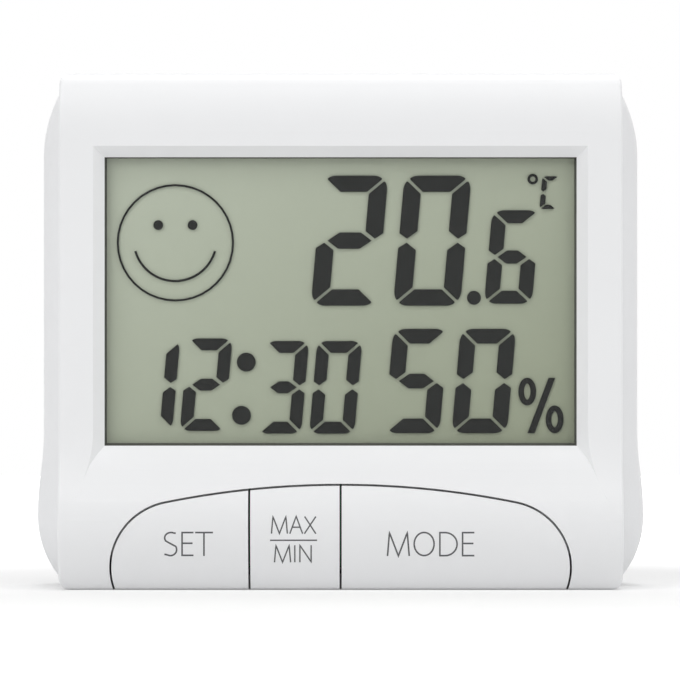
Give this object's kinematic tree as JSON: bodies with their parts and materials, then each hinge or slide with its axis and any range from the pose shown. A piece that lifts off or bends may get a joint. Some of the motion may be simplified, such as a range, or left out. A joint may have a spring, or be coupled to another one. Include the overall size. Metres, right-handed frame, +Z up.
{
  "type": "thermo-hygrometer",
  "caption": "Small desk and wall thermo-hygrometer: liquid-crystal display over a row of chin buttons, with a battery cover, wall keyhole and fold-out stand at the back.",
  "frame": {"origin": "on the table, under the middle of the case's box", "axes": "+X to the viewer's right, +Y to the back, +Z up; the display faces -Y"},
  "size_m": [0.0776, 0.022, 0.0651],
  "materials": {
    "front_shell": "satin white moulding",
    "rear_shell": "fine textured white moulding",
    "clear_lens": "clear polished acrylic",
    "front_film": "grey-green film",
    "display_glass": "clear glass",
    "reflector_film": "matt reflective film",
    "frame_plastic": "plain moulding",
    "contact_rubber": "striped elastic contact strip",
    "board_laminate": "green solder mask",
    "black_resin": "glossy black resin",
    "bright_steel": "bright can",
    "capacitor_sleeve": "dark sleeve",
    "sensor_body": "white ceramic",
    "sensor_bead": "dark epoxy bead",
    "chip_tan": "tan ceramic",
    "chip_black": "black ceramic",
    "switch_plastic": "black moulding",
    "screw_steel": "zinc-plated steel",
    "cell_jacket": "plain dark jacket",
    "contact_nickel": "nickel-plated steel",
    "red_wire": "red insulation",
    "black_wire": "black insulation",
    "button_plastic": "satin white moulding",
    "plunger_plastic": "dark moulding"
  },
  "bodies": {
    "case": {"front_cover": "front_shell", "rear_cover": "rear_shell", "display_window": "clear_lens", "lcd_front_polariser": "front_film", "lcd_front_glass": "display_glass", "lcd_rear_glass": "display_glass", "lcd_rear_polariser": "reflector_film", "lcd_frame": "frame_plastic", "zebra_strip": "contact_rubber", "main_board": "board_laminate", "controller_blob": "black_resin", "watch_crystal": "bright_steel", "filter_capacitor": "capacitor_sleeve", "humidity_sensor": "sensor_body", "thermistor": "sensor_bead", "chip_capacitors": "chip_tan", "chip_resistors": "chip_black", "switch_bodies": "switch_plastic", "board_screws": "screw_steel", "case_screws": "screw_steel", "battery_cell": "cell_jacket", "battery_contact": "contact_nickel", "battery_spring": "contact_nickel", "positive_lead": "red_wire", "negative_lead": "black_wire"},
    "set_key": {"set_button": "button_plastic", "set_plunger": "plunger_plastic"},
    "max_min_key": {"max_min_button": "button_plastic", "max_min_plunger": "plunger_plastic"},
    "mode_key": {"mode_button": "button_plastic", "mode_plunger": "plunger_plastic"},
    "fold_out_stand": {"stand": "rear_shell"},
    "cell_cover": {"battery_cover": "rear_shell"}
  },
  "joints": [
    {"name": "set_button_press", "type": "slide", "parent": "case", "child": "set_key", "axis": [0, 1, 0], "range_m": [0, 0.0003], "stiffness_N_per_m": 1000},
    {"name": "max_min_button_press", "type": "slide", "parent": "case", "child": "max_min_key", "axis": [0, 1, 0], "range_m": [0, 0.0003], "stiffness_N_per_m": 1000},
    {"name": "mode_button_press", "type": "slide", "parent": "case", "child": "mode_key", "axis": [0, 1, 0], "range_m": [0, 0.0003], "stiffness_N_per_m": 1000},
    {"name": "stand_fold", "type": "hinge", "parent": "case", "child": "fold_out_stand", "pos_m": [0, 0.0094, 0.0306], "axis": [1, 0, 0], "range_deg": [0, 35]},
    {"name": "battery_cover_tilt", "type": "hinge", "parent": "case", "child": "cell_cover", "pos_m": [0, 0.0106, 0.0363], "axis": [-1, 0, 0], "range_deg": [0, 55]}
  ]
}
